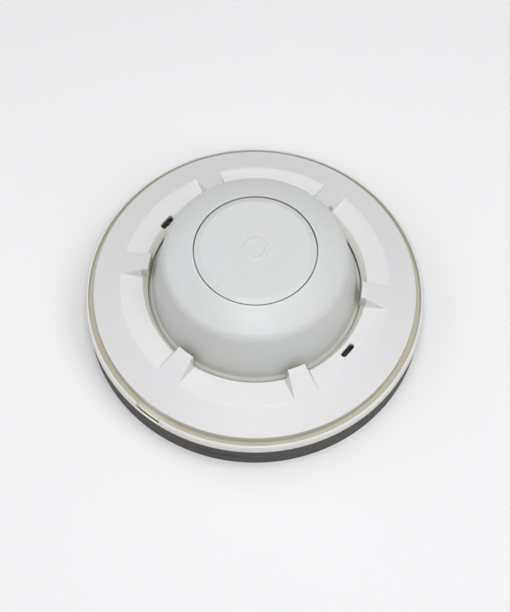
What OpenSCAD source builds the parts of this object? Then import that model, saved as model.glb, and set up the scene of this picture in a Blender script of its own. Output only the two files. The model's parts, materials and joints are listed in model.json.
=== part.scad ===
// Heat detector: a domed sensing head in a twist-lock ceiling base.
// The origin is the centre of the ceiling face and +Z runs from the ceiling towards the dome.
// Angles are counted from +X, counter-clockwise as seen from the dome.

/* [Base] */
// Outside diameter of the base rim
rim_d = 156; // [154:0.5:158]
// Height of the rim's widest line above the ceiling
rim_z = 14.6; // [14.4:0.1:15]
// Radius of the wiring hole in the base
wiring_hole_r = 13; // [10:0.5:15]
// Width of the slotted mounting holes
slot_w = 4.6; // [4:0.1:5]

/* [Trim ring] */
// Radius of the ring's outer wall
ring_r = 73.7; // [73:0.1:74]
// Height of the ring's outer edge above the ceiling
ring_edge_z = 20.2; // [19.8:0.1:20.6]
// Radius of the ridge between the outer slope and the inner flats
crest_r = 61; // [60:0.2:62]
// Height of that ridge above the ceiling
crest_z = 25.3; // [25:0.1:25.6]
// Radius of the ring's hole at its upper edge
hole_r = 50; // [49.6:0.1:50.4]
// Number of ribs
rib_count = 6; // [3:1:8]
// Angle of the first rib
rib_angle = -7.5; // [-10:0.5:-5]
// Half the width of a rib at the ridge
rib_half_w = 5.7; // [5:0.1:6.4]
// Radius at which the ribs end, beside the dome
rib_end_r = 48.7; // [48.4:0.1:49.2]
// Draft of the ribs' side faces
rib_draft = 21; // [10:1:26]

/* [Head] */
// Lean of the dome's wall from the vertical
wall_lean = 15.3; // [15:0.1:15.6]
// Radius of the dome's shoulder in section
shoulder_r = 7; // [6.4:0.2:7.4]
// Radius of the dome's crown in section
crown_r = 55; // [53:1:56]
// Slope of the crown at the edge of its pocket
crown_start = 15; // [14:0.5:16]
// Slope of the crown where the shoulder takes over
crown_end = 26; // [25.6:0.1:26.4]
// Height of the dome's top above the ceiling
dome_top_z = 53.6; // [53:0.1:54]
// Thickness of the dome's wall
wall = 2.2; // [1.8:0.1:2.4]
// Radius of the disc in the top of the dome
disc_r = 26.6; // [26:0.1:26.8]
// How far the head turns to come free of its base
twist_deg = 18; // [17:1:20]

/* [Hidden] */

$fn = 96;
rim_r = rim_d / 2;
far = 200;

// Base heights and radii
skirt_top_z = 12.4;
skirt_flange_r = 62;
skirt_flange_t = 1.6;
pan_floor_z = skirt_flange_t;
pan_floor_t = 2.2;
pan_top_z = pan_floor_z + pan_floor_t;
pan_wall_r = rim_r - 2.5;
ledge_in_r = 70;
lip_w = 1.5;
lip_h = 3.2;
lip_in_r = rim_r - lip_w - 0.2;
notch_angle = -126.5;
notch_sweep = 9.6;
ridge_angle = -99.4;

// Mounting slots: one pair along X, one pair along Y
slot_pairs = [[0, 43.05, 10.4], [90, 32.55, 10.2]];

// Bayonet
lug_angles = [20, 140, 260];
lug_sweep = 14;
lug_r = 59;
lug_t = 2.2;
post_in_r = lug_r + 0.8;
post_out_r = 62;
seat_r = 55.5;

// Terminals
terminal_angles = [45, 135, 225, 315];
terminal_r = 44;
contact_r = 33.5;
strip_t = 0.8;
clamp_t = 1;
leaf_top_z = 7.4;

// Chassis and circuit board
tray_z = 8.4;
tray_floor_t = 1.6;
tray_top_z = 13.1;
tray_r = 56;
board_z = 10.8;
board_t = 1.6;
board_top_z = board_z + board_t;
board_r = 53.2;
blade_t = 0.8;
blade_z = tray_z - blade_t;
screw_angles = [60, 180, 300];
screw_at_r = 40;

// Dome
flange_z = 13.6;
flange_t = 1.8;
flange_top_z = flange_z + flange_t;
pocket_r = disc_r + 0.6;
crown_at_r = pocket_r - crown_r * sin(crown_start);
crown_z = dome_top_z - crown_r * cos(crown_start);
shoulder_at_r = crown_at_r + (crown_r - shoulder_r) * sin(crown_end);
shoulder_z = crown_z + (crown_r - shoulder_r) * cos(crown_end);
shoulder_foot_r = shoulder_at_r + shoulder_r * cos(wall_lean);
shoulder_foot_z = shoulder_z + shoulder_r * sin(wall_lean);
dome_r = shoulder_foot_r + (shoulder_foot_z - flange_top_z) * tan(wall_lean);
pocket_z = 51.9;
disc_top_z = dome_top_z + 0.5;

// Light pipes and the windows above them
window_r = 52.4;
window_l = 7.8;
window_w = 2.6;
window_angles = [-37.5, 142.5];

// Points along a circular arc from angle a to angle b.
function arc(x, y, r, a, b, steps = 10) =
    [for (i = [0:steps]) let (t = a + (b - a) * i / steps) [x + r * cos(t), y + r * sin(t)]];

// Points along a quarter ellipse from its outer end to its top.
function quarter(x, y, rx, ry, steps = 8) =
    [for (i = [0:steps]) let (t = 90 * i / steps) [x + rx * cos(t), y + ry * sin(t)]];

// Turns its children to each of the listed angles.
module at_angles(angles) {
    for (a = angles) rotate([0, 0, a]) children();
}

// Places its children at a polar position.
module polar(angle, r, z = 0) {
    rotate([0, 0, angle]) translate([r, 0, z]) children();
}

// A solid of revolution from a section in radius and height.
module turned(points) {
    rotate_extrude($fn = 180) polygon(points);
}

// A flat ring.
module ring(r_in, r_out, z, h) {
    turned([[r_in, z], [r_out, z], [r_out, z + h], [r_in, z + h]]);
}

// Part of a flat ring, centred on an angle.
module sector(r_in, r_out, z, h, angle, sweep) {
    rotate([0, 0, angle - sweep / 2])
        rotate_extrude(angle = sweep, $fn = 180)
            polygon([[r_in, z], [r_out, z], [r_out, z + h], [r_in, z + h]]);
}

// A hole or block with round ends, its length along X.
module stadium(length, width, h) {
    linear_extrude(h) {
        square([length - width, width], center = true);
        for (side = [-1, 1]) translate([side * (length - width) / 2, 0]) circle(width / 2, $fn = 32);
    }
}

// A box centred on X and Y that stands on z.
module block(size, z = 0) {
    translate([-size[0] / 2, -size[1] / 2, z]) cube(size);
}

// A round wire standing on z.
module wire(x, y, r, z, h) {
    translate([x, y, z]) cylinder(r = r, h = h, $fn = 16);
}

// --- Base ---

module mounting_skirt() {
    wall_t = 1.4;
    top_r = rim_r - 0.7;
    ridge_z = 5.6;
    color("#5f5c56") {
        turned([
            [skirt_flange_r, 0], [rim_r, 0], [top_r, skirt_top_z], [top_r - wall_t, skirt_top_z],
            [top_r - wall_t, skirt_flange_t], [skirt_flange_r, skirt_flange_t]
        ]);
        for (i = [0:2]) sector(top_r - 0.5, rim_r, ridge_z, 0.9, ridge_angle + 120 * i, 20);
    }
}

module pan_shell() {
    turned(concat(
        [
            [wiring_hole_r, pan_floor_z], [pan_wall_r, pan_floor_z], [pan_wall_r, skirt_top_z],
            [rim_r - 0.6, skirt_top_z], [rim_r - 0.1, rim_z - 0.8]
        ],
        quarter(rim_r - lip_w, rim_z, lip_w, lip_h),
        [
            [lip_in_r, rim_z + lip_h - 0.2], [lip_in_r, rim_z], [ledge_in_r, rim_z],
            [ledge_in_r, rim_z - 1.8], [pan_wall_r - 1.7, rim_z - 1.8], [pan_wall_r - 1.7, pan_top_z],
            [wiring_hole_r, pan_top_z]
        ]
    ));
}

// One bayonet post with the ledge over its lug and the stop on which the lug rests. The full twist
// carries the lug a little past the other end of the ledge.
module bayonet_post() {
    room = 0.6;
    stop_sweep = 2.4;
    stop_angle = -lug_sweep / 2 - room - stop_sweep / 2;
    middle = stop_angle + (twist_deg - stop_sweep) / 2;
    ledge_z = tray_z + lug_t + 0.3;
    ledge_t = 2.3;
    sector(post_in_r, post_out_r, pan_top_z, ledge_z + ledge_t - pan_top_z, middle, twist_deg);
    sector(tray_r + 0.8, post_in_r, ledge_z, ledge_t, middle, twist_deg);
    sector(tray_r + 0.8, post_in_r, tray_z, lug_t + 0.3, stop_angle, stop_sweep);
}

module base_pan() {
    gusset_count = 12;
    color("#efedea") difference() {
        union() {
            pan_shell();
            ring(seat_r - 2, seat_r, pan_top_z, tray_z - 0.1 - pan_top_z);
            ring(wiring_hole_r, wiring_hole_r + 1.6, pan_top_z, 2.4);
            at_angles(lug_angles) bayonet_post();
            for (i = [0:gusset_count - 1])
                polar(360 * (i + 0.5) / gusset_count, post_out_r - 0.3)
                    translate([0, -0.8, pan_top_z - 0.1]) cube([5.5, 1.6, 7]);
            at_angles(terminal_angles) wire(terminal_r, 0, 4.2, 0.4, 1.6);
        }
        for (p = slot_pairs, side = [0, 180])
            polar(p[0] + side, p[1], -1) stadium(p[2], slot_w, 8);
        at_angles(terminal_angles) wire(terminal_r, 0, 1.8, 1.2, 10);
        sector(lip_in_r - 1, rim_r - 0.75, rim_z - 0.5, 6, notch_angle, notch_sweep);
        sector(rim_r - 0.8, rim_r + 1, rim_z + 0.3, 6, notch_angle, notch_sweep);
    }
}

// One brass strip: flat under its screw, then a sprung leaf that rises to the blade.
module contact_strip() {
    z = pan_top_z;
    t = strip_t;
    difference() {
        rotate([90, 0, 0]) translate([0, 0, -3.5]) linear_extrude(7) polygon([
            [49.5, z], [49.5, z + t], [38.5, z + t], [35.4, leaf_top_z], [31.8, leaf_top_z],
            [29.6, leaf_top_z - 1.8], [30.1, leaf_top_z - 2.3], [32.2, leaf_top_z - 0.7],
            [35, leaf_top_z - 0.7], [38, z]
        ]);
        wire(terminal_r, 0, 1.9, 0, 10);
    }
}

module terminal_contacts() {
    color("#c9a85c") at_angles(terminal_angles) contact_strip();
}

module wire_clamps() {
    z = pan_top_z + strip_t;
    color("#c4c2bb") at_angles(terminal_angles) difference() {
        translate([terminal_r, 0, 0]) block([7.6, 7.6, clamp_t], z);
        wire(terminal_r, 0, 1.9, 0, 10);
    }
}

module terminal_screws() {
    head_z = pan_top_z + strip_t + clamp_t;
    head_h = 1.9;
    color("#b9b9b6") at_angles(terminal_angles) difference() {
        union() {
            wire(terminal_r, 0, 1.7, 1.4, head_z - 1.3);
            translate([terminal_r, 0, head_z]) cylinder(r = 3.2, h = head_h, $fn = 32);
        }
        for (turn = [0, 90])
            translate([terminal_r, 0, 0]) rotate([0, 0, turn]) block([4.2, 0.8, 2], head_z + 0.9);
    }
}

// A leaf spring whose hump stands under the chassis.
module detent_spring() {
    z = pan_top_z;
    t = 0.4;
    top_z = tray_z - 0.3;
    color("#c9c9c6") polar(80, 49) rotate([90, 0, 90]) translate([0, 0, -2]) linear_extrude(4) polygon([
        [-9, z], [-9, z + t], [-4, z + t], [-1.2, top_z], [1.2, top_z], [4, z + t], [9, z + t], [9, z],
        [3.7, z], [1, top_z - t], [-1, top_z - t], [-3.7, z]
    ]);
}

// --- Trim ring ---

slope = (crest_z - ring_edge_z) / (ring_r - crest_r);
flat_in_r = hole_r + 2.2;
flat_in_z = crest_z - 0.8;
lip_z = 19;
ring_t = 2;

// Height of the outer slope's cone at a radius.
function cone_z(r) = crest_z + (crest_r - r) * slope;

// The ring as if it were all rib: its outer slope runs on inwards to the ends of the ribs.
module ring_blank() {
    edge = 0.5;
    turned(concat(
        [[ring_r, rim_z]],
        arc(ring_r - edge, ring_edge_z - edge, edge, 0, 70, 4),
        [
            [rib_end_r + 0.3, cone_z(rib_end_r + 0.3)], [rib_end_r, cone_z(rib_end_r) - 0.3],
            [rib_end_r, lip_z], [hole_r + 0.6, lip_z], [flat_in_r - 0.4, flat_in_z - ring_t],
            [crest_r, crest_z - ring_t], [ring_r - 1.8, ring_edge_z - ring_t], [ring_r - 1.8, rim_z]
        ]
    ));
}

// The room over the flats and inside the hole.
module flats_room() {
    edge = 2.2;
    rise = (crest_z - flat_in_z) / (crest_r - flat_in_r);
    turned(concat(
        [[rib_end_r - 2, lip_z - 1], [hole_r - 1, lip_z - 1]],
        arc(flat_in_r, flat_in_z - edge, edge, 172, 90, 8),
        [[crest_r + 3, crest_z + 3 * rise], [crest_r + 3, far], [rib_end_r - 2, far]]
    ));
}

// What the room leaves standing as a rib, with sides that lean in.
module rib() {
    top_z = cone_z(rib_end_r) + 1;
    lean = tan(rib_draft);
    low = rib_half_w + (crest_z - flat_in_z + 1) * lean;
    high = rib_half_w - (top_z - crest_z) * lean;
    translate([rib_end_r - 4, 0, 0]) rotate([90, 0, 90]) linear_extrude(crest_r - rib_end_r + 9)
        polygon([
            [-low, lip_z - 2], [low, lip_z - 2], [low, flat_in_z - 1],
            [high, top_z], [-high, top_z], [-low, flat_in_z - 1]
        ]);
}

module trim_ring() {
    color("#e4e4e6") {
        difference() {
            ring_blank();
            difference() {
                flats_room();
                at_angles([for (i = [0:rib_count - 1]) rib_angle - 360 * i / rib_count]) rib();
            }
            at_angles(window_angles)
                translate([window_r, 0, lip_z]) rotate([0, 0, 90]) stadium(window_l, window_w, 9);
        }
        for (i = [0:2]) sector(ledge_in_r - 1.8, ledge_in_r - 0.3, 11.5, 9.3, 30 + 120 * i, 12);
    }
}

// --- Head shells ---

// Half section of the dome's outside, moved inwards by t and carried down to foot_z.
function dome_section(t, foot_z) = concat(
    [[0, foot_z], [dome_r - t, foot_z], [dome_r - t, flange_top_z]],
    arc(shoulder_at_r, shoulder_z, shoulder_r - t, wall_lean, 90 - crown_end, 10),
    arc(crown_at_r, crown_z, crown_r - t, 92 - crown_end, 90 - crown_start, 5),
    [[0, dome_top_z - t]]
);

module dome_shell() {
    inner_roof_z = pocket_z - 1.6;
    difference() {
        union() {
            turned(dome_section(0, flange_z));
            ring(dome_r - 1, tray_r, flange_z, flange_t);
        }
        intersection() {
            turned(dome_section(wall, flange_z - 2));
            translate([0, 0, inner_roof_z - far]) cylinder(r = far, h = far);
        }
        translate([0, 0, pocket_z]) cylinder(r = pocket_r, h = 5);
    }
}

module dome_cover() {
    boss_z = board_top_z + 0.1;
    color("#dadcda") difference() {
        union() {
            dome_shell();
            intersection() {
                at_angles(screw_angles) translate([screw_at_r, 0, boss_z]) cylinder(r = 3.2, h = 33);
                turned(dome_section(wall, 0));
            }
        }
        at_angles(screw_angles) wire(screw_at_r, 0, 1.3, 0, 26);
        translate([0, 0, 40]) cylinder(r = 3.6, h = 20, $fn = 48);
        at_angles(window_angles) translate([51.6, 0, 0]) block([4.6, 8.4, 5], flange_z - 1);
    }
}

module sensing_disc() {
    under_z = pocket_z + 0.1;
    edge_w = 3.6;
    edge_h = 1;
    color("#dadcda") turned(concat(
        [[0, under_z + 1.1], [disc_r - 2.6, under_z + 1.1], [disc_r - 2.6, under_z], [disc_r, under_z]],
        quarter(disc_r - edge_w, disc_top_z - edge_h, edge_w, edge_h),
        [
            [5.9, disc_top_z], [5.4, disc_top_z + 0.25], [4.2, disc_top_z + 0.25], [3.7, disc_top_z],
            [0, disc_top_z]
        ]
    ));
}

module dome_gasket() {
    color("#2c2c2c") ring(tray_r - 1.7, tray_r, tray_top_z, flange_z - tray_top_z);
}

module chassis() {
    color("#3a3a3c") difference() {
        union() {
            translate([0, 0, tray_z]) cylinder(r = tray_r, h = tray_floor_t, $fn = 180);
            ring(tray_r - 1.8, tray_r, tray_z, tray_top_z - tray_z);
            for (a = lug_angles) sector(tray_r - 1, lug_r, tray_z, lug_t, a, lug_sweep);
            at_angles(screw_angles) wire(screw_at_r, 0, 3.2, tray_z, board_top_z - tray_z);
            at_angles([0, 120, 240]) wire(50, 0, 2, tray_z + 1, board_z - tray_z - 1);
            wire(0, 0, 4, tray_z + 1, board_z - tray_z - 1);
        }
        at_angles(screw_angles) wire(screw_at_r, 0, 3, tray_z - 1, 3.4);
        at_angles(screw_angles) wire(screw_at_r, 0, 1.45, tray_z, 10);
        rivet_holes(1.3);
    }
}

module cover_screws() {
    head_z = tray_z + 0.2;
    head_h = 2.2;
    color("#b9b9b6") at_angles(screw_angles) difference() {
        union() {
            translate([screw_at_r, 0, head_z]) cylinder(r = 2.7, h = head_h, $fn = 32);
            wire(screw_at_r, 0, 1.2, head_z + head_h - 0.1, 13);
        }
        for (turn = [0, 90])
            translate([screw_at_r, 0, 0]) rotate([0, 0, turn]) block([3.4, 0.7, 2], head_z - 1);
    }
}

// --- Contacts on the head ---

blade_sweep = 34;
blade_offset = -11;
rivet_turns = [-24, -16];

module rivet_holes(r) {
    at_angles([for (a = terminal_angles, t = rivet_turns) a + t]) wire(contact_r, 0, r, 0, 20);
}

module contact_blades() {
    color("#c9a85c") difference() {
        for (a = terminal_angles)
            sector(contact_r - 2.5, contact_r + 2.5, blade_z, blade_t, a + blade_offset, blade_sweep);
        rivet_holes(1.25);
    }
}

module blade_rivets() {
    top_z = board_top_z + 0.05;
    color("#cfcdc4") at_angles([for (a = terminal_angles, t = rivet_turns) a + t]) {
        wire(contact_r, 0, 1.2, blade_z + 0.1, top_z - blade_z);
        translate([contact_r, 0, top_z]) cylinder(r = 1.9, h = 0.7, $fn = 24);
    }
}

// --- Sensing ---

stem_z = 46;

module heat_collector() {
    plate_z = pocket_z + 0.2;
    color("#c6c8ca") difference() {
        union() {
            translate([0, 0, plate_z]) cylinder(r = 22, h = 0.9);
            wire(0, 0, 3.3, stem_z, plate_z - stem_z + 0.1);
        }
        wire(0, 0, 1.8, stem_z - 1, 5);
    }
}

module thermistor_bead() {
    bead_r = 1.5;
    color("#8a3b24") translate([0, 0, stem_z + 2]) sphere(r = bead_r, $fn = 32);
}

module thermistor_leads() {
    color("#c9c9c6") for (side = [-1, 1]) wire(side * 0.9, 0, 0.25, board_z, stem_z + 0.9 - board_z);
}

module thermistor_post() {
    color("#e8e6df") difference() {
        union() {
            wire(0, 0, 3.2, board_top_z, stem_z - board_top_z - 0.6);
            translate([0, 0, board_top_z]) cylinder(r = 6, h = 1.6, $fn = 48);
        }
        wire(0, 0, 2.2, 0, far);
    }
}

module reference_thermistor() {
    bead_z = board_top_z + 4;
    color("#8a3b24") translate([20, -22, bead_z]) sphere(r = 1.3, $fn = 24);
    color("#c9c9c6") for (side = [-0.6, 0.6]) wire(20 + side, -22, 0.2, board_z, bead_z - board_z - 1);
}

// --- Circuit ---

module circuit_board() {
    color("#2f6b45") difference() {
        translate([0, 0, board_z]) cylinder(r = board_r, h = board_t, $fn = 180);
        at_angles(screw_angles) wire(screw_at_r, 0, 3.5, 0, 20);
        rivet_holes(1.3);
        for (side = [-1, 1]) wire(side * 0.9, 0, 0.4, 0, 20);
        for (side = [-0.6, 0.6]) wire(20 + side, -22, 0.35, 0, 20);
    }
}

chip_at = [0, 20];
chip_w = 9;

module controller() {
    color("#262626") translate([chip_at[0], chip_at[1], board_top_z]) block([chip_w, chip_w, 1.4], 0.1);
}

module controller_pins() {
    pitch = 1;
    color("#c9c9c6") translate([chip_at[0], chip_at[1], 0]) at_angles([0, 90, 180, 270])
        for (i = [-3.5:3.5]) translate([chip_w / 2 + 0.6, i * pitch, 0]) block([1.2, 0.4, 0.3], board_top_z);
}

module bridge_rectifier() {
    color("#262626") translate([-20, 14, 0]) block([6.4, 5, 2.4], board_top_z + 0.2);
    color("#c9c9c6") for (x = [-2, 2], side = [-1, 1])
        translate([x - 20, 14 + side * 3, 0]) block([1, 1.6, 0.2], board_top_z);
}

module alarm_thyristor() {
    color("#262626") difference() {
        wire(-28, -4, 2.3, board_top_z + 2, 4.6);
        translate([-31, -4 + 1.4, 0]) cube([6, 3, far]);
    }
    color("#c9c9c6") for (i = [-1:1]) translate([-28 + 1.2 * i, -4, 0]) block([0.4, 0.4, 2], board_top_z);
}

module surge_varistor() {
    color("#2f5f9c") translate([-10, -26, board_top_z + 6.5]) rotate([90, 0, 0])
        cylinder(r = 4.5, h = 3.4, center = true, $fn = 48);
    color("#c9c9c6") for (side = [-1, 1])
        wire(-10 + 2.5 * side, -26, 0.3, board_top_z, 3.2);
}

module electrolytic_capacitors() {
    color("#3c3f55") for (c = [[26, -2, 4, 11], [24, -12, 3.2, 8]])
        translate([c[0], c[1], board_top_z]) cylinder(r = c[2], h = c[3], $fn = 48);
}

module ceramic_capacitors() {
    color("#b08a5a") {
        for (i = [0:5]) translate([-7 + 3.4 * i, 32, 0]) block([2, 1.25, 1], board_top_z);
        for (i = [0:3]) translate([10, -12 - 3 * i, 0]) block([1.25, 2, 1], board_top_z);
    }
}

module resistors() {
    color("#1f1f22") {
        for (i = [0:5]) translate([-15 + 3.2 * i, -14, 0]) block([1.25, 2, 0.6], board_top_z);
        for (i = [0:4]) translate([-12 + 3.6 * i, 36, 0]) block([2, 1.25, 0.6], board_top_z);
        for (i = [0:3]) translate([-36, 6 + 3 * i, 0]) block([2, 1.25, 0.6], board_top_z);
    }
}

module clock_crystal() {
    color("#c9c9c6") translate([14, 20, board_top_z]) rotate([0, 0, 90]) stadium(11, 4.6, 3.5);
}

reed_at = [4, -36];

module reed_switch() {
    color("#c8dfd8") translate([reed_at[0] - 7, reed_at[1], board_top_z + 2.4]) rotate([0, 90, 0])
        cylinder(r = 1.3, h = 14, $fn = 24);
}

module reed_leads() {
    color("#c9c9c6") for (side = [-1, 1]) translate([reed_at[0], reed_at[1], 0]) {
        translate([side * 8.5, 0, board_top_z + 2.4]) rotate([0, 90, 0])
            cylinder(r = 0.3, h = 3, center = true, $fn = 16);
        wire(side * 9.7, 0, 0.3, board_top_z, 2.4);
    }
}

led_r = 51.4;

module status_leds() {
    z = board_top_z + 0.05;
    color("#b5403a") at_angles(window_angles) {
        wire(led_r, 0, 1.7, z, 0.8);
        wire(led_r, 0, 1.35, z, 1.4);
        translate([led_r, 0, z + 1.4]) sphere(r = 1.35, $fn = 24);
    }
}

module light_pipes() {
    foot_z = flange_top_z;
    color("#3b3a3a") at_angles(window_angles) {
        translate([window_r, 0, 0]) block([2, 6.4, 5.3], foot_z + 0.2);
        translate([window_r - 0.2, 0, 0]) block([5.6, 10.4, 0.8], foot_z);
    }
}

mounting_skirt();
base_pan();
terminal_contacts();
wire_clamps();
terminal_screws();
detent_spring();
trim_ring();
dome_cover();
sensing_disc();
dome_gasket();
chassis();
cover_screws();
contact_blades();
blade_rivets();
heat_collector();
thermistor_bead();
thermistor_leads();
thermistor_post();
circuit_board();
controller();
controller_pins();
bridge_rectifier();
alarm_thyristor();
surge_varistor();
electrolytic_capacitors();
ceramic_capacitors();
resistors();
clock_crystal();
reed_switch();
reed_leads();
reference_thermistor();
status_leds();
light_pipes();
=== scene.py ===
"""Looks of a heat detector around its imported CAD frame: moulded shells, materials and a plain studio.

Sizes are in millimetres up to the point where a mesh is made, which is in metres. Angles on the object
are counted from +X, counter-clockwise as seen from the dome.
"""
import json
import math

import bpy
from mathutils import Matrix, Vector

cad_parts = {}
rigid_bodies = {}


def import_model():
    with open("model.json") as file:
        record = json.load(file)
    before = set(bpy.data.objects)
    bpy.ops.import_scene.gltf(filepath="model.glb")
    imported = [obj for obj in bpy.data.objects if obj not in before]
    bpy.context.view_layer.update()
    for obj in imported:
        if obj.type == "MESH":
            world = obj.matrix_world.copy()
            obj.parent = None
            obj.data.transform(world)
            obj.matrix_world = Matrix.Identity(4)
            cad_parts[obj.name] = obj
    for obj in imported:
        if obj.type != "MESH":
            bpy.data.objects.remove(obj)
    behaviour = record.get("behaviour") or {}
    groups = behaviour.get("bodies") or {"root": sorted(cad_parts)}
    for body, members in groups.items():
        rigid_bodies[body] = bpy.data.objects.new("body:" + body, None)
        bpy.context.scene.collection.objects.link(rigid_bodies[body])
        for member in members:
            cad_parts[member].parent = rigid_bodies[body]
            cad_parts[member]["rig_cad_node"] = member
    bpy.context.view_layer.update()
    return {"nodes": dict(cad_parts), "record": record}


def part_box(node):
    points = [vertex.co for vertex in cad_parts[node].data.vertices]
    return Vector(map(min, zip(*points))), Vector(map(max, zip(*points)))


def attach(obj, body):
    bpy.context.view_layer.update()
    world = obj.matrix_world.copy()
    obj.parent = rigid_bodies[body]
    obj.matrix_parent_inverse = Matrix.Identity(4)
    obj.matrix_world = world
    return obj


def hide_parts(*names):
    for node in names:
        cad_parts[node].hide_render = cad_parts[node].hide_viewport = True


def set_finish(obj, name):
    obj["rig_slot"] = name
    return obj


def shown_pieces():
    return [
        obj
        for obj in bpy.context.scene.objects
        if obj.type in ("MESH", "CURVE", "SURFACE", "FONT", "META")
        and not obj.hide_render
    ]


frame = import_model()

MM = 0.001


def box_mm(node):
    """Lowest and highest corner of a CAD node, in millimetres."""
    low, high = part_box(node)
    return low / MM, high / MM


# --- Sizes, worked out from the frame where they can be ---

pan_high = box_mm("base_pan")[1]
dome_high = box_mm("dome_cover")[1]
disc_low, disc_high = box_mm("sensing_disc")

RIM_R = pan_high.x
RIM_TOP = pan_high.z
RIM_Z = RIM_TOP - 3.2
LIP_IN_R = RIM_R - 1.7
LEDGE_IN_R = RIM_R - 8
PAN_WALL_R = RIM_R - 2.5
PAN_FLOOR = 1.6
PAN_TOP = PAN_FLOOR + 2.2
WIRE_HOLE_R = 13
NOTCH_ANGLE = -126.5
NOTCH_SWEEP = 9.6
SKIRT_TOP = box_mm("mounting_skirt")[1].z
SKIRT_IN_R = 62
SKIRT_LEDGE_ANGLE = -99.4

RING_R = box_mm("trim_ring")[1].x
RING_EDGE_Z = RIM_Z + 5.6
CREST_R = 61
CREST_Z = RIM_Z + 10.7
SLOPE = (CREST_Z - RING_EDGE_Z) / (RING_R - CREST_R)
HOLE_R = 50
FLAT_IN_R = HOLE_R + 1.2
FLAT_RISE = 0.06
BEVEL_END_R = HOLE_R - 1.4
BEVEL_END_Z = 22
LIP_Z = 21
EDGE_FILLET = 0.6
RIB_END_R = 48.1
RIB_HALF_W = 5.7
RIB_LEAN = math.tan(math.radians(21))
RIB_ANGLES = [-7.5 - 60 * i for i in range(6)]
WINDOWS = ((-39.4, 53.4), (143.8, 51.4))
WINDOW_L = 7.8
WINDOW_W = 2.6

DOME_TOP = dome_high.z
FLANGE_R = dome_high.x
FLANGE_Z = 13.6
FLANGE_TOP = FLANGE_Z + 1.8
DISC_R = disc_high.x
POCKET_R = DISC_R + 0.45
POCKET_Z = disc_low.z - 0.1
WALL_LEAN = math.radians(13.5)
SHOULDER_R = 5.5
CROWN_R = 55
CROWN_START = math.radians(15)
CROWN_END = math.radians(27.5)
CROWN_AT_R = DISC_R + 0.6 - CROWN_R * math.sin(CROWN_START)
CROWN_Z = DOME_TOP - CROWN_R * math.cos(CROWN_START)
SHOULDER_AT_R = CROWN_AT_R + (CROWN_R - SHOULDER_R) * math.sin(CROWN_END)
SHOULDER_Z = CROWN_Z + (CROWN_R - SHOULDER_R) * math.cos(CROWN_END)
WALL_TOP_R = SHOULDER_AT_R + SHOULDER_R * math.cos(WALL_LEAN)
WALL_TOP_Z = SHOULDER_Z + SHOULDER_R * math.sin(WALL_LEAN)
FOOT_Z = 22.4
FOOT_R = WALL_TOP_R + (WALL_TOP_Z - FOOT_Z) * math.tan(WALL_LEAN)
FLARE_R = BEVEL_END_R - 0.2
FLARE_Z = 20.3

SLOT_PAIRS = ((0, 43.05, 10.4), (90, 32.55, 10.2))
SLOT_W = 4.6
SEAT_R = 55.5
TRAY_Z = box_mm("chassis")[0].z
LUG_ANGLES = (20, 140, 260)
TERMINAL_ANGLES = (45, 135, 225, 315)
TERMINAL_R = 44
TERMINAL_HOLE_R = 1.8


# --- Sections ---

def rounded(corners, steps=6):
    """Points along a closed section. A corner is (radius, height, fillet)."""
    points = []
    for i, corner in enumerate(corners):
        here, size = Vector(corner[:2]), corner[2]
        if not size:
            points.append(tuple(corner[:2]))
            continue
        before = (Vector(corners[i - 1][:2]) - here).normalized()
        after = (Vector(corners[(i + 1) % len(corners)][:2]) - here).normalized()
        half = before.angle(after) / 2
        centre = here + (before + after).normalized() * size / math.sin(half)
        start = here + before * size / math.tan(half) - centre
        end = here + after * size / math.tan(half) - centre
        turn = start.angle(end)
        for step in range(steps + 1):
            t = step / steps
            share = math.sin((1 - t) * turn) / math.sin(turn)
            arm = start * share + end * math.sin(t * turn) / math.sin(turn)
            points.append((centre.x + arm.x, centre.y + arm.y))
    return points


def quarter(radius, height, width, rise, steps=12):
    """Points along a quarter ellipse, from its outer end to its top."""
    turns = [math.radians(90 * i / steps) for i in range(steps + 1)]
    return [(radius + width * math.cos(t), height + rise * math.sin(t)) for t in turns]


def bend(radius, height, size, first, last, steps):
    """Corners along an arc whose surface slopes from first to last, in radians from the level."""
    slopes = [first + (last - first) * i / steps for i in range(steps + 1)]
    return [(radius + size * math.sin(t), height + size * math.cos(t), 0) for t in slopes]


def steps_between(first, last, count):
    """Evenly spaced numbers from first up to but not including last."""
    return [first + (last - first) * i / count for i in range(count)]


def soft_min(a, b, size):
    """The lower of two heights, with a fillet where they cross."""
    near = max(size - abs(a - b), 0) / size
    return min(a, b) - near * near * size / 4


def soft_max(a, b, size):
    return -soft_min(-a, -b, size)


def smooth_share(x, low, high):
    """0 below low, 1 above high and a smooth curve between."""
    t = min(max((x - low) / (high - low), 0), 1)
    return t * t * (3 - 2 * t)


# --- Meshes ---

def add_piece(name, vertices, faces, body, slot):
    """A mesh piece that rides on a CAD body. Vertices are in millimetres."""
    mesh = bpy.data.meshes.new(name)
    mesh.from_pydata([(x * MM, y * MM, z * MM) for x, y, z in vertices], [], faces)
    mesh.validate()
    piece = bpy.data.objects.new(name, mesh)
    bpy.context.scene.collection.objects.link(piece)
    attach(piece, body)
    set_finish(piece, slot)
    return piece


def around(columns):
    """Vertices and faces of a ring-shaped solid. A column is a closed section as 3-D points."""
    rows = len(columns[0])
    vertices = [point for column in columns for point in column]
    faces = []
    for i in range(len(columns)):
        here, there = i * rows, (i + 1) % len(columns) * rows
        for j in range(rows):
            k = (j + 1) % rows
            faces.append((here + j, there + j, there + k, here + k))
    return vertices, faces


def at_angle(section, degrees):
    """A section of (radius, height) points turned to an angle."""
    c, s = math.cos(math.radians(degrees)), math.sin(math.radians(degrees))
    return [(r * c, r * s, z) for r, z in section]


def lathe(section, count=240):
    """A solid of revolution. The section runs counter-clockwise in radius and height."""
    return around([at_angle(section, 360 * i / count) for i in range(count)])


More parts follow.
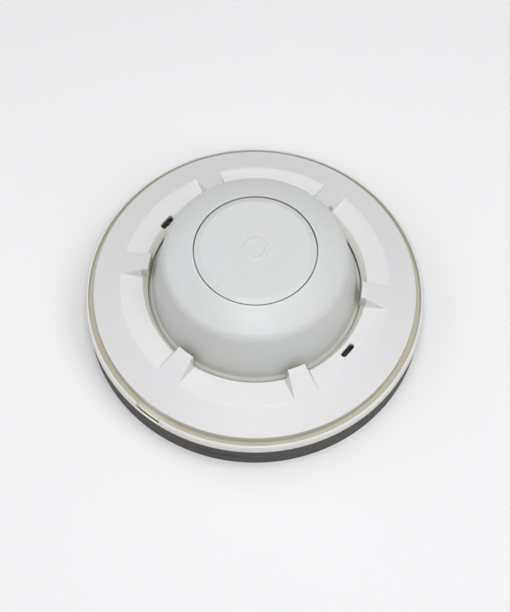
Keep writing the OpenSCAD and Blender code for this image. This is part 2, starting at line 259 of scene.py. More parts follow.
def sector(r_in, r_out, z_low, z_high, angle, sweep, round_off=0.25):
    """Part of a flat ring with softened edges, closed at both ends."""
    section = rounded([
        (r_in, z_low, round_off), (r_out, z_low, round_off),
        (r_out, z_high, round_off), (r_in, z_high, round_off),
    ], 2)
    count = max(3, int(sweep))
    columns = [at_angle(section, angle - sweep / 2 + sweep * i / count) for i in range(count + 1)]
    vertices, faces = around(columns)
    rows = len(section)
    faces = faces[:count * rows]
    faces.append(tuple(range(rows)))
    faces.append(tuple(count * rows + j for j in reversed(range(rows))))
    return vertices, faces


def joined(*parts):
    """Several closed solids as one set of vertices and faces."""
    vertices, faces = [], []
    for part_vertices, part_faces in parts:
        start = len(vertices)
        vertices += part_vertices
        faces += [tuple(start + k for k in face) for face in part_faces]
    return vertices, faces


def moved(part, angle, radius):
    """A solid made at the axis, shifted to a polar position."""
    x, y = radius * math.cos(math.radians(angle)), radius * math.sin(math.radians(angle))
    return [(px + x, py + y, pz) for px, py, pz in part[0]], part[1]


def stadium_prism(angle, radius, length, width, z_low, z_high, across=False):
    """A prism with round ends at a polar position, its length along the radius or across it."""
    turns = [math.radians(180 * i / 12 - 90) for i in range(13)]
    half = (length - width) / 2
    outline = [(half + width / 2 * math.cos(t), width / 2 * math.sin(t)) for t in turns]
    outline += [(-x, -y) for x, y in outline]
    spin = Matrix.Rotation(math.radians(angle + (90 if across else 0)), 2)
    centre = Vector((math.cos(math.radians(angle)), math.sin(math.radians(angle)))) * radius
    flat = [spin @ Vector(p) + centre for p in outline]
    count = len(flat)
    vertices = [(p.x, p.y, z) for z in (z_low, z_high) for p in flat]
    faces = [(i, (i + 1) % count, count + (i + 1) % count, count + i) for i in range(count)]
    faces.append(tuple(reversed(range(count))))
    faces.append(tuple(range(count, 2 * count)))
    return vertices, faces


def peg(angle, radius, peg_r, z_low, z_high):
    """A round peg at a polar position. Its flat sides are only 0.01 mm long."""
    return stadium_prism(angle, radius, 2 * peg_r + 0.01, 2 * peg_r, z_low, z_high)


def cut(piece, part):
    """Cuts a solid out of a piece."""
    mesh = bpy.data.meshes.new("cutter")
    mesh.from_pydata([(x * MM, y * MM, z * MM) for x, y, z in part[0]], [], part[1])
    cutter = bpy.data.objects.new("cutter", mesh)
    bpy.context.scene.collection.objects.link(cutter)
    modifier = piece.modifiers.new("cut", "BOOLEAN")
    modifier.operation = "DIFFERENCE"
    modifier.solver = "EXACT"
    modifier.object = cutter
    depsgraph = bpy.context.evaluated_depsgraph_get()
    made = bpy.data.meshes.new_from_object(piece.evaluated_get(depsgraph))
    piece.modifiers.clear()
    piece.data = made
    bpy.data.objects.remove(cutter)


def finish_piece(piece, sharp_over=35):
    """Smooth shading that keeps the sharp edges and leaves flat faces flat."""
    piece.data.shade_smooth()
    piece.data.set_sharp_from_angle(angle=math.radians(sharp_over))
    weighted = piece.modifiers.new("flat faces stay flat", "WEIGHTED_NORMAL")
    weighted.keep_sharp = True
    weighted.weight = 80


# --- Base ---

def make_skirt():
    """The skirt under the rim, with three low ledges on its outside. Its dark colour is painted shade for
    this shadowed band.
    """
    lean = 0.7
    top_r = RIM_R - lean
    in_r = top_r - 1.4
    ledge_half_sweep = 10

    def outside(z):
        return RIM_R - lean * z / SKIRT_TOP

    def section(ledge):
        ledge_r = outside(6) + ledge * (RIM_R - outside(6))
        return rounded([
            (SKIRT_IN_R, 0, 0.3), (RIM_R, 0, 0.4), (outside(5.3), 5.3, 0), (ledge_r, 5.4, 0),
            (ledge_r, 6.2, 0), (outside(6.7), 6.7, 0), (top_r, SKIRT_TOP, 0.2), (in_r, SKIRT_TOP, 0.2),
            (in_r, PAN_FLOOR, 0.3), (SKIRT_IN_R, PAN_FLOOR, 0.3),
        ], 3)

    columns = []
    for i in range(720):
        degrees = i / 2
        from_ledge = abs((degrees - SKIRT_LEDGE_ANGLE + 60) % 120 - 60)
        ledge = 1 - smooth_share(from_ledge, ledge_half_sweep - 0.5, ledge_half_sweep + 0.5)
        columns.append(at_angle(section(ledge), degrees))
    vertices, faces = around(columns)
    piece = add_piece("skirt_shell", vertices, faces, "base", "skirt_plastic")
    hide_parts("mounting_skirt")
    finish_piece(piece, 50)


def pan_section(in_notch):
    """Section of the base pan. In the notch the lip is cut down to a low, thin outer edge, with a slit
    behind it."""
    wall_in_r = PAN_WALL_R - 1.7
    ledge_under_z = RIM_Z - 1.8
    notch_r = LIP_IN_R - 1
    section = rounded([
        (WIRE_HOLE_R, PAN_FLOOR, 0.2), (PAN_WALL_R, PAN_FLOOR, 0.6), (PAN_WALL_R, SKIRT_TOP, 0.2),
        (RIM_R - 0.6, SKIRT_TOP, 0.3), (RIM_R - 0.1, RIM_Z - 0.8, 0.8), (RIM_R, RIM_Z, 0),
        (LIP_IN_R, RIM_TOP, 0), (LIP_IN_R, RIM_Z, 0.3), (notch_r + 0.05, RIM_Z, 0),
        (notch_r - 0.05, RIM_Z, 0), (LEDGE_IN_R, RIM_Z, 0.3), (LEDGE_IN_R, ledge_under_z, 0.2),
        (wall_in_r, ledge_under_z, 0.2), (wall_in_r, PAN_TOP, 0.8), (WIRE_HOLE_R, PAN_TOP, 0.2),
    ], 4)
    split = section.index((RIM_R, RIM_Z)) + 1
    lip = quarter(RIM_R - 1.5, RIM_Z, 1.5, RIM_TOP - RIM_Z)[1:]
    lip += [(LIP_IN_R + 0.1, RIM_TOP - 0.03), (LIP_IN_R + 0.02, RIM_TOP - 0.12), (LIP_IN_R, RIM_TOP - 0.3)]
    inner = section[split + 1:]
    if in_notch:
        edge_r = RIM_R - 0.75
        edge_z = RIM_Z + 0.3
        floor_z = RIM_Z - 0.3
        slit_r = edge_r - 0.8
        slit_z = RIM_Z - 2.6
        edge = [(RIM_R - 0.05, edge_z - 0.15), (RIM_R - 0.2, edge_z), (edge_r + 0.1, edge_z)]
        edge += [(edge_r, edge_z - 0.1), (edge_r, slit_z), (slit_r, slit_z)]
        floor_radii = steps_between(slit_r - 0.05, LIP_IN_R, len(lip) - len(edge))
        lip = edge + [(radius, floor_z) for radius in floor_radii]
        inner = [(r, min(z, floor_z)) if r > notch_r else (r, z) for r, z in inner]
    return section[:split] + lip + inner


def make_pan_shell():
    """The base's lip and ledge, and its floor with the slots and holes."""
    plain, notched = pan_section(False), pan_section(True)
    first, last = NOTCH_ANGLE - NOTCH_SWEEP / 2, NOTCH_ANGLE + NOTCH_SWEEP / 2
    side = 0.12
    columns = [at_angle(notched, a) for a in steps_between(first, last, 12) + [last]]
    columns += [at_angle(plain, a) for a in steps_between(last + side, first - side + 360, 360)]
    columns.append(at_angle(plain, first - side))
    vertices, faces = around(columns)
    shell = add_piece("base_pan_shell", vertices, faces, "base", "base_plastic")
    cut_top = PAN_TOP + 2.2
    for turn, radius, length in SLOT_PAIRS:
        for angle in (turn, turn + 180):
            cut(shell, stadium_prism(angle, radius, length, SLOT_W, 0, cut_top))
    for angle in TERMINAL_ANGLES:
        cut(shell, peg(angle, TERMINAL_R, TERMINAL_HOLE_R, 0, cut_top))
    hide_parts("base_pan")
    finish_piece(shell)


def collar(in_r, out_r, top_z, count=240):
    """A low round wall on the pan's floor."""
    foot_z = PAN_TOP - 0.2
    corners = [(in_r, foot_z, 0), (out_r, foot_z, 0), (out_r, top_z, 0.3), (in_r, top_z, 0.3)]
    return lathe(rounded(corners, 3), count)


def make_pan_fittings():
    """What stands on the base's floor: seat, wiring collar, terminal bosses, bayonet posts and ribs."""
    parts = [
        collar(SEAT_R - 2, SEAT_R, TRAY_Z - 0.1),
        collar(WIRE_HOLE_R, WIRE_HOLE_R + 1.6, PAN_TOP + 2.4, 96),
    ]
    boss_r, boss_low, boss_high = TERMINAL_HOLE_R + 2.4, 0.4, PAN_FLOOR + 0.3
    boss = lathe(rounded([
        (TERMINAL_HOLE_R, boss_low, 0.1), (boss_r, boss_low, 0.2),
        (boss_r, boss_high, 0), (TERMINAL_HOLE_R, boss_high, 0),
    ], 2), 32)
    parts += [moved(boss, angle, TERMINAL_R) for angle in TERMINAL_ANGLES]

    foot_z = PAN_TOP - 0.1
    post_in_r, post_out_r, post_sweep = 59.8, 62, 18
    hook_in_r, hook_out_r = 56.8, post_in_r + 0.4
    hook_z = TRAY_Z + 2.5
    hook_top_z = hook_z + 2.3
    for angle in LUG_ANGLES:
        parts.append(sector(post_in_r, post_out_r, foot_z, hook_top_z, angle - 1, post_sweep))
        parts.append(sector(hook_in_r, hook_out_r, hook_z, hook_top_z, angle - 1, post_sweep))
        parts.append(sector(hook_in_r, hook_out_r, TRAY_Z, hook_z + 0.2, angle - 8.8, 2.4))
    rib_in_r, rib_out_r, rib_top_z = post_out_r - 0.3, 67.2, PAN_TOP + 6.9
    parts += [sector(rib_in_r, rib_out_r, foot_z, rib_top_z, 15 + 30 * i, 1.45) for i in range(12)]
    fittings = add_piece("base_pan_fittings", *joined(*parts), "base", "base_plastic")
    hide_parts("base_pan")
    finish_piece(fittings)


# --- Trim ring ---

def cone_z(radius):
    """Height of the ring's outer slope, which the ribs carry on inwards."""
    return CREST_Z + (CREST_R - radius) * SLOPE


def flat_z(radius):
    return CREST_Z - (CREST_R - radius) * FLAT_RISE


def flat_edge_r(angle):
    """Inner radius of the flats. The bevel round the hole is a little wider at the far side."""
    return FLAT_IN_R + 0.9 * math.sin(math.radians(angle))


def bevel_points(edge_r, edge_z):
    """Down the bevel, from the inner edge of the flats to the ring's edge at the hole."""
    lean = math.atan2(edge_z - BEVEL_END_Z, edge_r - BEVEL_END_R)
    points = [(edge_r - EDGE_FILLET * math.sin(t), edge_z - EDGE_FILLET * (1 - math.cos(t)))
              for t in (lean * i / 7 for i in range(8))]
    return points + [
        (BEVEL_END_R + 0.3 * math.cos(lean), BEVEL_END_Z + 0.3 * math.sin(lean)),
        (BEVEL_END_R + 0.05, BEVEL_END_Z), (BEVEL_END_R, BEVEL_END_Z - 0.3),
        (BEVEL_END_R + 0.2, LIP_Z + 0.3), (BEVEL_END_R + 0.3, LIP_Z + 0.1),
    ]


def rib_end_points(edge_r):
    """Along a rib's top and down its end, with as many points as the bevel beside it."""
    corner_z = cone_z(RIB_END_R) - 0.84
    points = [(r, cone_z(r)) for r in steps_between(edge_r, RIB_END_R + EDGE_FILLET, 5)]
    points += [(RIB_END_R + EDGE_FILLET * (1 - math.sin(t)), corner_z + EDGE_FILLET * math.cos(t))
               for t in (math.radians(20 + 70 * i / 3) for i in range(4))]
    return points + [
        (RIB_END_R, BEVEL_END_Z + 1.5), (BEVEL_END_R, BEVEL_END_Z), (BEVEL_END_R, LIP_Z + 0.3),
        (BEVEL_END_R + 0.1, LIP_Z + 0.1),
    ]


def ring_column(across, edge_r):
    """Section of the trim ring at a distance to the side of a rib's middle.

    Outside edge_r the surface is the higher of the flats and the rib's side, but nowhere above the cone.
    Inside it the section blends from the bevel to the rib's end.
    """
    side_z = CREST_Z + (RIB_HALF_W - abs(across)) / RIB_LEAN
    edge_z = flat_z(edge_r)
    wall = 2
    skirt_in_r = RING_R - 1.8
    section = rounded([
        (skirt_in_r, RIM_Z, 0), (RING_R, RIM_Z, 0.15), (RING_R, RING_EDGE_Z, 0.5), (CREST_R, CREST_Z, 0),
    ], 5)[1:-1]
    radii = steps_between(RING_R - 0.8, CREST_R + 1.2, 6)
    radii += steps_between(CREST_R + 1.2, CREST_R - 1.2, 10)
    radii += steps_between(CREST_R - 1.2, edge_r, 10) + [edge_r + 0.06]
    for radius in radii:
        below_top = soft_max(flat_z(radius), side_z, 0.7)
        section.append((radius, soft_min(cone_z(radius), below_top, 0.3)))

    end_half_w = RIB_HALF_W - (CREST_R - edge_r) * SLOPE * RIB_LEAN
    rib_share = 1 - smooth_share(abs(across), end_half_w - 0.1, end_half_w + 0.3)
    for (flat_r, low_z), (rib_r, high_z) in zip(bevel_points(edge_r, edge_z), rib_end_points(edge_r)):
        section.append((flat_r + (rib_r - flat_r) * rib_share, low_z + (high_z - low_z) * rib_share))

    section += [(HOLE_R - 0.7, LIP_Z), (HOLE_R + 0.5, LIP_Z), (HOLE_R + 0.62, LIP_Z + 0.1)]
    section += [(edge_r + 0.6, edge_z - wall), (CREST_R, CREST_Z - wall)]
    section += [(skirt_in_r, RING_EDGE_Z - wall), (skirt_in_r, RIM_Z + 0.15), (skirt_in_r + 0.15, RIM_Z)]
    return section


def ring_angles():
    """Angles from a rib's middle to the next one's, closer together at the rib's sides."""
    angles = steps_between(0, 3, 4) + steps_between(3, 6.8, 34)
    angles += steps_between(6.8, 10, 10) + steps_between(10, 30, 24)
    return [-30] + [-a for a in reversed(angles[1:])] + angles


def make_trim_ring():
    """The snap-in ring: its slope, the flats, six ribs, two windows and a mould mark.

    Beside a rib the columns of points run parallel to it, and between two ribs they run to the axis.
    """
    columns = []
    for rib_angle in reversed(RIB_ANGLES):
        for angle in ring_angles():
            across = CREST_R * math.sin(math.radians(angle))
            straight = 1 - smooth_share(abs(angle), 9, 17)
            column = []
            for radius, height in ring_column(across, flat_edge_r(rib_angle + angle)):
                parallel = math.degrees(math.asin(max(-0.9, min(0.9, across / radius))))
                turn = math.radians(rib_angle + straight * parallel + (1 - straight) * angle)
                column.append((radius * math.cos(turn), radius * math.sin(turn), height))
            columns.append(column)
    vertices, faces = around(columns)
    piece = add_piece("trim_ring_shell", vertices, faces, "trim_ring", "ring_plastic")
    for angle, radius in WINDOWS:
        cut(piece, stadium_prism(angle, radius, WINDOW_L, WINDOW_W, LIP_Z - 4, LIP_Z + 9, across=True))
    mark_angle, mark_r, mark_depth = -177.5, 58.6, 0.12
    cut(piece, peg(mark_angle, mark_r, 0.6, flat_z(mark_r) - mark_depth, CREST_Z + 1))
    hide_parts("trim_ring")
    finish_piece(piece, 40)


def make_ring_guides():
    """Three guides under the ring, inside the base's ledge."""
    guide_r, guide_low, guide_high = LEDGE_IN_R - 0.3, RIM_Z - 3.1, RING_EDGE_Z + 0.4
    guides = [sector(guide_r - 1.5, guide_r, guide_low, guide_high, 30 + 120 * i, 12) for i in range(3)]
    tabs = add_piece("trim_ring_guides", *joined(*guides), "trim_ring", "ring_plastic")
    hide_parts("trim_ring")
    finish_piece(tabs)


# --- Head ---

def make_dome():
    """The dome, from its flange over the flared foot, wall, shoulder and crown to the pocket in its top.

    A groove runs round the pocket's floor, under the disc's edge.
    """
    steepest = math.radians(90) - WALL_LEAN
    wall = 2.2
    groove_z = POCKET_Z - 1.1
    groove_in_r = DISC_R - 1
    post_hole_r = 3.6
    roof_z = POCKET_Z - 1.6
    roof_slope = math.acos((roof_z - CROWN_Z) / (CROWN_R - wall))
    section = rounded(
        [(FLANGE_R, FLANGE_Z, 0.3), (FLANGE_R, FLANGE_TOP, 0.4), (FLARE_R, FLANGE_TOP, 0.3),
         (FLARE_R, FLARE_Z, 0.1), (FOOT_R, FOOT_Z, 3)]
        + bend(SHOULDER_AT_R, SHOULDER_Z, SHOULDER_R, steepest, CROWN_END, 20)[:-1]
        + bend(CROWN_AT_R, CROWN_Z, CROWN_R, CROWN_END, CROWN_START, 16)
        + [(POCKET_R, DOME_TOP, 0.14), (POCKET_R, groove_z, 0.2), (groove_in_r, groove_z, 0.2),
           (groove_in_r, POCKET_Z, 0.2), (post_hole_r, POCKET_Z, 0.1), (post_hole_r, roof_z, 0.1)]
        + bend(CROWN_AT_R, CROWN_Z, CROWN_R - wall, roof_slope, CROWN_END, 8)
        + bend(SHOULDER_AT_R, SHOULDER_Z, SHOULDER_R - wall, CROWN_END, steepest, 10)[1:]
        + [(FOOT_R - wall, FOOT_Z, 0.5), (FOOT_R - wall, FLANGE_Z, 0.2)]
    )
    piece = add_piece("dome_shell", *lathe(section, 288), "head", "dome_plastic")
    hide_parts("dome_cover")
    finish_piece(piece)


def make_disc():
    """The inset disc, with its bevelled edge and a raised ring at its centre."""
    top = disc_high.z - 0.25
    edge_r = DISC_R - 0.15
    rest_in_r = DISC_R - 3
    middle_r = 0.01
    section = rounded([
        (middle_r, top - 0.9, 0), (rest_in_r, top - 1.5, 0.2), (rest_in_r, disc_low.z, 0.2),
        (edge_r, disc_low.z, 0.2), (edge_r, top - 1, 0.3), (edge_r - 2.5, top, 1.4),
    ], 6)
    section += rounded([
        (9, top, 0), (5.9, top, 0.25), (5.5, disc_high.z, 0.2), (4.1, disc_high.z, 0.2),
        (3.7, top, 0.25), (middle_r, top, 0),
    ], 4)
    piece = add_piece("disc_shell", *lathe(section, 240), "head", "disc_plastic")
    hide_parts("sensing_disc")
    finish_piece(piece)


# --- Materials ---

class Nodes:
    """A material's node tree, with short calls for the nodes that the finishes share."""

    def __init__(self, name):
        self.material = bpy.data.materials.new(name)
        self.material.use_nodes = True
        self.tree = self.material.node_tree
        self.shader = self.tree.nodes["Principled BSDF"]
        self.place = self.tree.nodes.new("ShaderNodeTexCoord").outputs["Object"]

    def link(self, output, target):
        self.tree.links.new(output, target)

    def noise(self, grain_mm, detail=3.0, stretch=None):
        """Noise whose grains are about grain_mm across."""
        node = self.tree.nodes.new("ShaderNodeTexNoise")
        node.inputs["Scale"].default_value = 1 / (grain_mm * MM)
        node.inputs["Detail"].default_value = detail
        place = self.place
        if stretch:
            mapping = self.tree.nodes.new("ShaderNodeMapping")
            mapping.inputs["Scale"].default_value = stretch
            self.link(place, mapping.inputs["Vector"])
            place = mapping.outputs["Vector"]
        self.link(place, node.inputs["Vector"])
        return node.outputs["Fac"]

    def ramp(self, value, stops):
        """A colour ramp from (position, colour) stops."""
        node = self.tree.nodes.new("ShaderNodeValToRGB")
        elements = node.color_ramp.elements
        while len(elements) < len(stops):
            elements.new(0.5)
        for element, (position, colour) in zip(elements, stops):
            element.position = position
            element.color = (*colour, 1)
        self.link(value, node.inputs["Fac"])
        return node.outputs["Color"]

    def mix(self, first, second, share, blend="MIX"):
        """Mixes two colours by the brightness of a third socket or by a number."""
        node = self.tree.nodes.new("ShaderNodeMix")
        node.data_type = "RGBA"
        node.blend_type = blend
        for value, key in ((share, 0), (first, 6), (second, 7)):
            if isinstance(value, bpy.types.NodeSocket):
                self.link(value, node.inputs[key])
            else:
                node.inputs[key].default_value = value
        return node.outputs[2]

    def spread(self, value, low, high):
        """Maps the middle of a noise to a range of numbers."""
        node = self.tree.nodes.new("ShaderNodeMapRange")
        node.inputs["From Min"].default_value = 0.3
        node.inputs["From Max"].default_value = 0.7
        node.inputs["To Min"].default_value = low
        node.inputs["To Max"].default_value = high
        self.link(value, node.inputs["Value"])
        return node.outputs["Result"]

    def bump(self, height, depth_mm, under=None):
        node = self.tree.nodes.new("ShaderNodeBump")
        node.inputs["Strength"].default_value = 1
        node.inputs["Distance"].default_value = depth_mm * MM
        self.link(height, node.inputs["Height"])
        if under:
            self.link(under, node.inputs["Normal"])
        return node.outputs["Normal"]

    def openness(self, reach_mm, inside=False):
        """1 where a surface lies open, less where others close in on it, or inside, less near an edge."""
        node = self.tree.nodes.new("ShaderNodeAmbientOcclusion")
        node.samples = 8
        node.inside = inside
        node.inputs["Distance"].default_value = reach_mm * MM
        return node.outputs["AO"]

    def facing_up(self):
        """1 on a level surface, 0 on a wall or an underside."""
        split = self.tree.nodes.new("ShaderNodeSeparateXYZ")
        self.link(self.tree.nodes.new("ShaderNodeNewGeometry").outputs["Normal"], split.inputs["Vector"])
        level = self.tree.nodes.new("ShaderNodeMath")
        level.operation = "MAXIMUM"
        level.inputs[1].default_value = 0
        self.link(split.outputs["Z"], level.inputs[0])
        return level.outputs["Value"]


def tinted(colour, factor):
    return tuple(min(1, c * f) for c, f in zip(colour, factor))


def moulded(name, colour, roughness, grain_mm, depth_mm, edge_wear_and_highlight=0.06, painted_crevice_shade=(1, 0.99, 0.92),
            painted_floor_shade=None, **sockets):
    """Injection-moulded plastic: a fine texture, faint flow marks, edges lightened as wear and as a
    painted highlight, and painted shade in corners.

    The wear number is how much lighter an edge is, partly as wear and partly as a painted highlight. The
    crevice tint is painted shade, warmed like bounce light, where other surfaces close in. The floor tint
    is painted shade on the floors of deep places.
    """
    white = (1, 1, 1)
    nodes = Nodes(name)
    warm, cool = tinted(colour, (1.0, 0.99, 0.965)), tinted(colour, (0.985, 0.99, 1.0))
    flow = nodes.ramp(nodes.noise(34, 4), [(0.3, warm), (0.7, cool)])
    speck = nodes.ramp(nodes.noise(1.1, 2), [(0.32, (0.965,) * 3), (0.6, white)])
    base = nodes.mix(flow, speck, 1.0, "MULTIPLY")
    # Edges are lightened partly as wear and partly as a painted highlight on edges that catch the light.
    worn_and_glinting_edges = nodes.ramp(nodes.openness(0.8, True), [(0.55, (1 + edge_wear_and_highlight,) * 3), (0.95, white)])
    with_worn_and_glinting_edges = nodes.mix(base, worn_and_glinting_edges, 1.0, "MULTIPLY")
    # Painted shade: the colour is darkened and warmed where other surfaces close in within 8 mm.
    openness_for_painted_shade = nodes.openness(8)
    colour_with_painted_shade = nodes.mix(with_worn_and_glinting_edges, nodes.ramp(openness_for_painted_shade, [(0.3, painted_crevice_shade), (0.75, white)]), 1.0, "MULTIPLY")
    # Painted shade on the floors of deep places: level surfaces that others close in on are darkened and
    # warmed.
    if painted_floor_shade:
        floor_shade_ramp = nodes.ramp(openness_for_painted_shade, [(0.55, painted_floor_shade), (0.9, white)])
        floor_shade_tint = nodes.mix((*white, 1), floor_shade_ramp, nodes.facing_up())
        colour_with_painted_shade = nodes.mix(colour_with_painted_shade, floor_shade_tint, 1.0, "MULTIPLY")
    nodes.link(colour_with_painted_shade, nodes.shader.inputs["Base Color"])
    gloss = nodes.spread(nodes.noise(7, 5), roughness - 0.05, roughness + 0.05)
    nodes.link(gloss, nodes.shader.inputs["Roughness"])
    waves = nodes.bump(nodes.noise(22, 2), 0.02)
    nodes.link(nodes.bump(nodes.noise(grain_mm, 3), depth_mm, waves), nodes.shader.inputs["Normal"])
    for key, value in sockets.items():
        nodes.shader.inputs[key].default_value = value
    return nodes.material


def metal(name, colour, roughness, stretch, tarnish):
    """Drawn or plated metal: fine lines along the draw, and patches that have dulled."""
    nodes = Nodes(name)
    nodes.shader.inputs["Metallic"].default_value = 1
    patches = nodes.ramp(nodes.noise(2.4, 4), [(0.35, tinted(colour, tarnish)), (0.62, colour)])
    nodes.link(patches, nodes.shader.inputs["Base Color"])
    lines = nodes.noise(0.5, 3, stretch)
    nodes.link(nodes.spread(lines, roughness - 0.08, roughness + 0.1), nodes.shader.inputs["Roughness"])
    nodes.link(nodes.bump(lines, 0.006), nodes.shader.inputs["Normal"])
    return nodes.material


def board_finish(name, colour):
    """Circuit board: solder mask over straight tracks that show through it."""
    nodes = Nodes(name)
    tracks = nodes.tree.nodes.new("ShaderNodeTexBrick")
    tracks.inputs["Scale"].default_value = 300
    tracks.inputs["Mortar Size"].default_value = 0.035
    tracks.inputs["Brick Width"].default_value = 2.3
    tracks.inputs["Row Height"].default_value = 0.6
    tracks.inputs["Color1"].default_value = (0, 0, 0, 1)
    tracks.inputs["Color2"].default_value = (0, 0, 0, 1)
    tracks.inputs["Mortar"].default_value = (1, 1, 1, 1)
    nodes.link(nodes.place, tracks.inputs["Vector"])
    mask = nodes.ramp(nodes.noise(5, 3), [(0.3, tinted(colour, (0.8, 0.9, 0.8))), (0.7, colour)])
    copper = (*tinted(colour, (2.6, 1.7, 1.4)), 1)
    share = nodes.mix((0, 0, 0, 1), (0.5, 0.5, 0.5, 1), tracks.outputs["Color"])
    nodes.link(nodes.mix(mask, copper, share), nodes.shader.inputs["Base Color"])
    nodes.link(nodes.spread(nodes.noise(1.5, 3), 0.24, 0.36), nodes.shader.inputs["Roughness"])
    nodes.link(nodes.bump(tracks.outputs["Color"], 0.03), nodes.shader.inputs["Normal"])
    return nodes.material


def clear(name, colour, roughness):
    """Tinted glass or clear plastic, with faint streaks in its surface."""
    nodes = Nodes(name)
    streaks = nodes.noise(3, 2)
    nodes.link(nodes.ramp(streaks, [(0.3, tinted(colour, (0.92,) * 3)), (0.7, colour)]),
               nodes.shader.inputs["Base Color"])
    nodes.link(nodes.spread(streaks, roughness, roughness + 0.06), nodes.shader.inputs["Roughness"])
    nodes.link(nodes.bump(streaks, 0.004), nodes.shader.inputs["Normal"])
    nodes.shader.inputs["Transmission Weight"].default_value = 0.85
    nodes.shader.inputs["IOR"].default_value = 1.5
    return nodes.material


HEAD_COLOUR = (0.75, 0.77, 0.735)

# A moulding's three numbers are its roughness, the size of its grain in mm and the grain's depth in mm.
materials = {
    # The skirt's dark colour is painted shade for the band under the rim. Its lighter edges are partly a
    # painted highlight.
    "skirt_plastic": moulded("skirt_plastic", (0.066, 0.061, 0.051), 0.6, 0.45, 0.012, edge_wear_and_highlight=0.2),
    # The crevice and floor tints of these mouldings are painted shade in deep places, not a colour of the
    # plastic.
    "base_plastic": moulded("base_plastic", (0.88, 0.87, 0.82), 0.42, 0.5, 0.006,
                            painted_crevice_shade=(0.93, 0.92, 0.86), painted_floor_shade=(0.78, 0.765, 0.68)),
    "ring_plastic": moulded("ring_plastic", (0.84, 0.838, 0.805), 0.45, 0.55, 0.022,
                            painted_crevice_shade=(0.84, 0.83, 0.75)),
    "dome_plastic": moulded("dome_plastic", HEAD_COLOUR, 0.4, 0.6, 0.006, painted_crevice_shade=(0.85, 0.845, 0.76)),
    "disc_plastic": moulded("disc_plastic", HEAD_COLOUR, 0.38, 0.6, 0.006, painted_crevice_shade=(0.7, 0.705, 0.7)),
    "chassis_plastic": moulded("chassis_plastic", (0.035, 0.035, 0.037), 0.5, 0.4, 0.012),
    "post_plastic": moulded("post_plastic", (0.78, 0.76, 0.70), 0.45, 0.5, 0.006,
                            **{"Subsurface Weight": 0.1, "Subsurface Scale": 0.002}),
    "seal_rubber": moulded("seal_rubber", (0.022, 0.022, 0.022), 0.85, 0.25, 0.05),
    "chip_epoxy": moulded("chip_epoxy", (0.022, 0.022, 0.023), 0.55, 0.2, 0.01),
    "bead_epoxy": moulded("bead_epoxy", (0.28, 0.06, 0.03), 0.25, 0.6, 0.01),
    "varistor_epoxy": moulded("varistor_epoxy", (0.03, 0.12, 0.35), 0.3, 0.6, 0.01),
    "capacitor_sleeve": moulded("capacitor_sleeve", (0.04, 0.045, 0.09), 0.28, 0.8, 0.008),
    "capacitor_ceramic": moulded("capacitor_ceramic", (0.45, 0.28, 0.13), 0.6, 0.2, 0.006),
    "contact_brass": metal("contact_brass", (0.72, 0.53, 0.24), 0.28, (1, 9, 9), (0.8, 0.72, 0.6)),
    "plated_steel": metal("plated_steel", (0.62, 0.61, 0.58), 0.35, (3, 3, 1), (0.85, 0.84, 0.82)),
    "spring_steel": metal("spring_steel", (0.58, 0.58, 0.57), 0.25, (9, 1, 9), (0.85, 0.85, 0.85)),
    "tinned_metal": metal("tinned_metal", (0.66, 0.66, 0.64), 0.4, (3, 3, 1), (0.8, 0.8, 0.8)),
    "collector_aluminium": metal("collector_aluminium", (0.72, 0.73, 0.74), 0.3, (1, 7, 7), (0.9,) * 3),
    "board_laminate": board_finish("board_laminate", (0.02, 0.13, 0.055)),
    "switch_glass": clear("switch_glass", (0.62, 0.78, 0.72), 0.03),
    "led_epoxy": clear("led_epoxy", (0.45, 0.03, 0.02), 0.12),
    "pipe_plastic": clear("pipe_plastic", (0.16, 0.155, 0.15), 0.15),
}

make_skirt()
make_pan_shell()
make_pan_fittings()
make_trim_ring()
make_ring_guides()
make_dome()
make_disc()

for row in frame["record"]["subparts"]:
    node = frame["nodes"][row["node"]]
    node.data.materials.clear()
    node.data.materials.append(materials[row["material_slot"]])
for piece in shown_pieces():
    if "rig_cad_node" not in piece:
        piece.data.materials.clear()
        piece.data.materials.append(materials[piece["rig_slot"]])


# --- Studio ---

def make_floor():
    """A plain pale floor, 8 m across."""
    mesh = bpy.data.meshes.new("floor")
    half = 4.0
    mesh.from_pydata([(-half, -half, 0), (half, -half, 0), (half, half, 0), (-half, half, 0)],
                     [], [(0, 1, 2, 3)])
    floor = bpy.data.objects.new("floor", mesh)
    bpy.context.scene.collection.objects.link(floor)
    nodes = Nodes("floor")
    nodes.link(nodes.ramp(nodes.noise(400, 2), [(0.3, (0.98, 0.98, 0.94)), (0.7, (0.99, 0.99, 0.95))]),
               nodes.shader.inputs["Base Color"])
    nodes.link(nodes.spread(nodes.noise(60, 3), 0.75, 0.85), nodes.shader.inputs["Roughness"])
    mesh.materials.append(nodes.material)


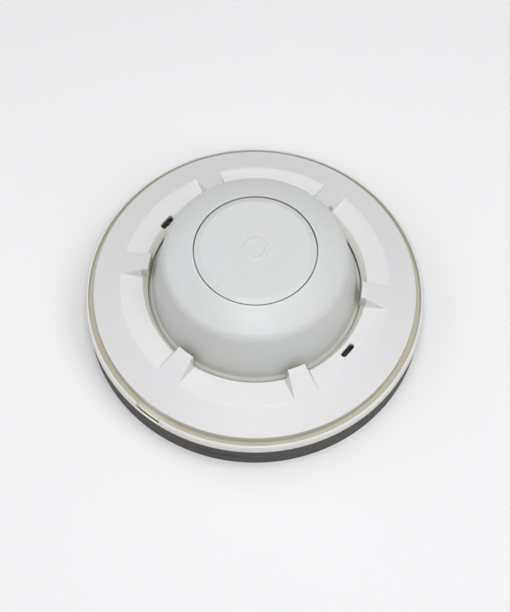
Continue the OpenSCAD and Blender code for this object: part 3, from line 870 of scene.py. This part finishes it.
def make_light(name, lean, side, power):
    """A soft square light that faces the object. Lean is its angle from the zenith towards the
    front, and side is its angle towards the right, in degrees."""
    light = bpy.data.lights.new(name, "AREA")
    light.shape = "SQUARE"
    light.size = LIGHT_SIZE
    light.energy = power
    light.color = LIGHT_COLOUR
    lamp = bpy.data.objects.new(name, light)
    lean, side = math.radians(lean), math.radians(side)
    away = Vector((math.sin(side), -math.sin(lean) * math.cos(side), math.cos(lean) * math.cos(side)))
    lamp.location = away * LIGHT_DISTANCE
    lamp.rotation_euler = away.to_track_quat("Z", "Y").to_euler()
    bpy.context.scene.collection.objects.link(lamp)


def make_camera():
    """A short telephoto view from above and in front, aimed a little low and slightly rolled."""
    centre = Vector((0.2 * MM, 0, RIM_Z * MM))
    distance = 0.5
    elevation = math.radians(62.58)
    aim_down = math.radians(0.794)
    roll = math.radians(0.965)
    data = bpy.data.cameras.new("camera")
    data.lens = 63.65
    data.sensor_width = 36
    camera = bpy.data.objects.new("camera", data)
    back = Vector((0, -math.cos(elevation), math.sin(elevation)))
    tilt = math.radians(90) - elevation - aim_down
    turn = Matrix.Rotation(tilt, 4, "X") @ Matrix.Rotation(roll, 4, "Z")
    camera.matrix_world = Matrix.Translation(centre + back * distance) @ turn
    bpy.context.scene.collection.objects.link(camera)
    bpy.context.scene.camera = camera


LIGHT_COLOUR = (1.0, 1.0, 1.06)
LIGHT_DISTANCE = 1.4
LIGHT_SIZE = 0.6
WORLD_STRENGTH = 0.01
LIGHTS = (
    ("top", 0, 0, 4.9),
    ("key", 25, 0, 5.7),
    ("back", -28, 0, 1.2),
    ("left", 0, -55, 1.4),
    ("right", 0, 30, 2.8),
    ("front_left", 38, -38, 1.4),
    ("front_right", 38, 38, 2.4),
    ("back_left", -38, -38, 1.4),
    ("back_right", -38, 38, 0.9),
)


def light_scene():
    world = bpy.data.worlds.new("studio")
    bpy.context.scene.world = world
    world.use_nodes = True
    background = world.node_tree.nodes["Background"]
    background.inputs["Color"].default_value = (*LIGHT_COLOUR, 1)
    background.inputs["Strength"].default_value = WORLD_STRENGTH
    for light in LIGHTS:
        make_light(*light)
    bpy.context.scene.view_settings.view_transform = "Standard"


make_floor()
light_scene()
make_camera()
